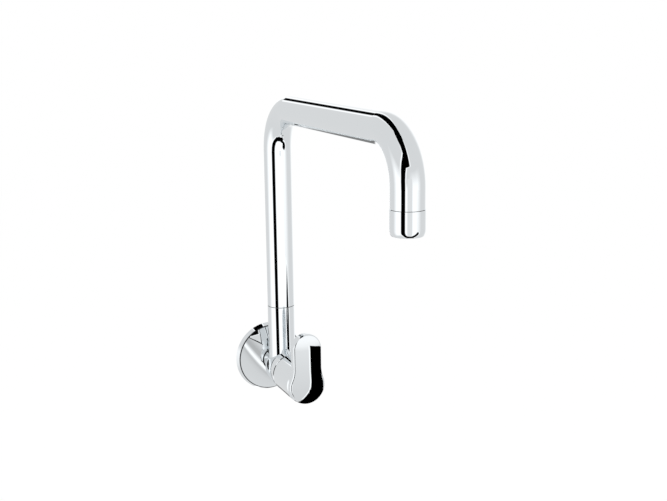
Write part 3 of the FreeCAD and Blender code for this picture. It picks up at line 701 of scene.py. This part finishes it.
plasticLook = {"flow": (260.0, 3.0), "stretch": (1, 1, 0.3), "flowDark": 0.86,
               "grain": (7000.0, 1.0), "depth": 0.008, "roughSpread": 0.16}
nylonLook = {"shade": (0.06, 0.062, 0.065), "rough": 0.5}
acetalLook = {"shade": (0.90, 0.90, 0.88), "rough": 0.32}


def mouldedPlastic(spot, look):
    # flow marks, and the faint grain of the mould
    flow = spot.stretched(plasticLook["stretch"]).noise(*plasticLook["flow"])
    grain = spot.noise(*plasticLook["grain"])
    dark = [part * plasticLook["flowDark"] for part in look["shade"]]
    return {"colour": flow.between(look["shade"], dark), "metal": 0.0,
            "rough": grain * plasticLook["roughSpread"] + look["rough"],
            "height": grain * plasticLook["depth"]}


finishes = {
    "polishedChrome": polish,
    "bodyChrome": bodySurface,
    "handleChrome": handleSurface,
    "housingChrome": housingSurface,
    "flangeChrome": flangeSurface,
    "inletBrass": lambda spot: turnedBrass(spot, inletAxis, "y"),
    "riserBrass": lambda spot: turnedBrass(spot, riserAxis, "z"),
    "ferruleBrass": ferruleSurface,
    "keeperSteel": lambda spot: brightSteel(spot, keeperAxis, "y"),
    "grubSteel": lambda spot: brightSteel(spot, grubAxis, "z"),
    "screenSteel": lambda spot: brightSteel(spot, outletAxis, "z"),
    "springSteel": springSteel,
    "blackRubber": blackRubber,
    "closedFoam": closedFoam,
    "lappedCeramic": lappedCeramic,
    "blackNylon": lambda spot: mouldedPlastic(spot, nylonLook),
    "whiteAcetal": lambda spot: mouldedPlastic(spot, acetalLook),
}

finishOf = {
    "wall_flange": "flangeChrome", "flange_gasket": "closedFoam", "flange_o_ring": "blackRubber",
    "valve_body": "bodyChrome", "seat_seal": "blackRubber", "headwork_body": "inletBrass",
    "headwork_washer": "blackRubber", "fixed_disc": "lappedCeramic",
    "thrust_washer": "whiteAcetal", "handle_guide_ring": "blackNylon",
    "spout_slip_ring": "blackNylon", "spout_retaining_screw": "keeperSteel",
    "lever_handle": "handleChrome", "lever_grub_screw": "grubSteel", "spindle": "inletBrass",
    "turning_disc": "lappedCeramic", "spindle_o_rings": "blackRubber",
    "spindle_circlip": "springSteel", "spout_tube": "polishedChrome",
    "swivel_nipple": "riserBrass", "swivel_o_rings": "blackRubber",
    "swivel_guide_rings": "whiteAcetal", "outlet_ferrule": "ferruleBrass",
    "aerator_housing": "housingChrome", "aerator_washer": "blackRubber",
    "aerator_cage": "whiteAcetal", "aerator_screens": "screenSteel",
    "flow_regulator": "whiteAcetal",
}

looks = {name: finish(name, surface) for name, surface in finishes.items()}
for name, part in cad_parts.items():
    part.data.materials.clear()
    part.data.materials.append(looks[finishOf[name]])
print("finishes on", len(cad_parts), "nodes")


inletThread = {
    "radius": 10.48, "root": 9.32, "pitch": 1.814,      # a half-inch pipe thread, right-hand
    "start": -2.0, "end": 15.0, "runOut": 2.2, "runOutLag": 0.1,
    "around": 96, "rowsPerTurn": 12,
    "slack": 0.04, "steepest": 0.5,      # how the plain tail's faces are told from the rest
}


def threadRadius(along, turn):
    look = inletThread
    phase = (along / look["pitch"] + turn) % 1
    slope = abs(2 * phase - 1)
    groove = slope * slope * (3 - 2 * slope)
    grown = min(max((along - look["start"]) / look["runOut"] - look["runOutLag"], 0), 1)
    out = look["radius"] - (look["radius"] - look["root"]) * groove * grown
    return min(out, look["root"] + look["end"] - along)      # the chamfer at the end


def cutTail(work):
    look = inletThread

    def onTail(vertex):
        out, along = math.hypot(vertex.co.x, vertex.co.z) / mm, vertex.co.y / mm
        return (abs(out - look["radius"]) < look["slack"]
                and look["start"] - look["slack"] < along < look["end"] + look["slack"])

    tail = [face for face in work.faces if abs(face.normal.y) < look["steepest"]
            and all(onTail(vertex) for vertex in face.verts)]
    bmesh.ops.delete(work, geom=tail, context="FACES")
    for vertex in work.verts:      # the end face shrinks to the chamfer's small end
        if onTail(vertex) and vertex.co.y / mm > look["end"] - look["slack"]:
            vertex.co.x *= look["root"] / look["radius"]
            vertex.co.z *= look["root"] / look["radius"]


def addThread(work):
    look = inletThread
    span = look["end"] - look["start"]
    rowCount = round(span / look["pitch"] * look["rowsPerTurn"])
    rings = []
    for row in range(rowCount + 1):
        along = look["start"] + span * row / rowCount
        ring = []
        for step in range(look["around"]):
            turn = step / look["around"]
            out, angle = threadRadius(along, turn), 2 * math.pi * turn
            ring.append(work.verts.new((out * math.cos(angle) * mm, along * mm,
                                        out * math.sin(angle) * mm)))
        rings.append(ring)
    for low, high in zip(rings, rings[1:]):
        for step in range(look["around"]):
            after = (step + 1) % look["around"]
            face = work.faces.new((low[step], high[step], high[after], low[after]))
            face.smooth = True


def buildThreadedBody():
    # the valve body again, with its tail's plain cylinder exchanged for the thread
    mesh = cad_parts["valve_body"].data.copy()
    mesh.materials.clear()
    work = bmesh.new()
    work.from_mesh(mesh)
    cutTail(work)
    addThread(work)
    work.normal_update()
    work.to_mesh(mesh)
    work.free()
    piece = newObject("threadedBody", mesh, looks["bodyChrome"])
    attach(piece, "body")
    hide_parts("valve_body")


wovenScreen = {"radius": 9.3, "pitch": 1.1, "wire": 0.07, "wave": 0.07, "low": 175.25,
               "rise": 0.3, "count": 2, "wireBevel": 1}


def buildScreens():
    # plain-woven wire: each wire passes over and under its neighbours
    look = wovenScreen
    data = bpy.data.curves.new("wovenScreens", "CURVE")
    data.dimensions = "3D"
    data.bevel_depth = look["wire"] * mm
    data.bevel_resolution = look["wireBevel"]
    most = int(look["radius"] / look["pitch"]) + 1
    places = [(screen, across, wire) for screen in range(look["count"]) for across in (0, 1)
              for wire in range(-most, most + 1)]
    for screen, across, wire in places:
        height = look["low"] + screen * look["rise"]
        shift = screen * look["pitch"] / 2
        offset = wire * look["pitch"] + shift
        if abs(offset) > look["radius"] - look["pitch"] / 2:
            continue
        half = math.sqrt(look["radius"] ** 2 - offset ** 2)
        spots = [(crossing * look["pitch"] + shift, 1 - 2 * ((crossing + wire + across) % 2))
                 for crossing in range(-most, most + 1)]
        spots = [(-half, 0)] + [spot for spot in spots if abs(spot[0]) < half] + [(half, 0)]
        line = data.splines.new("POLY")
        line.points.add(len(spots) - 1)
        for point, (along, side) in zip(line.points, spots):
            x, y = (offset, along) if across else (along, offset)
            point.co = (x * mm, (y + outletAxis[1]) * mm, (height + side * look["wave"]) * mm, 1)
    piece = newObject("wovenScreens", data, looks["screenSteel"])
    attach(piece, "spout")
    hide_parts("aerator_screens")


buildThreadedBody()
buildScreens()
print("thread and screens made")
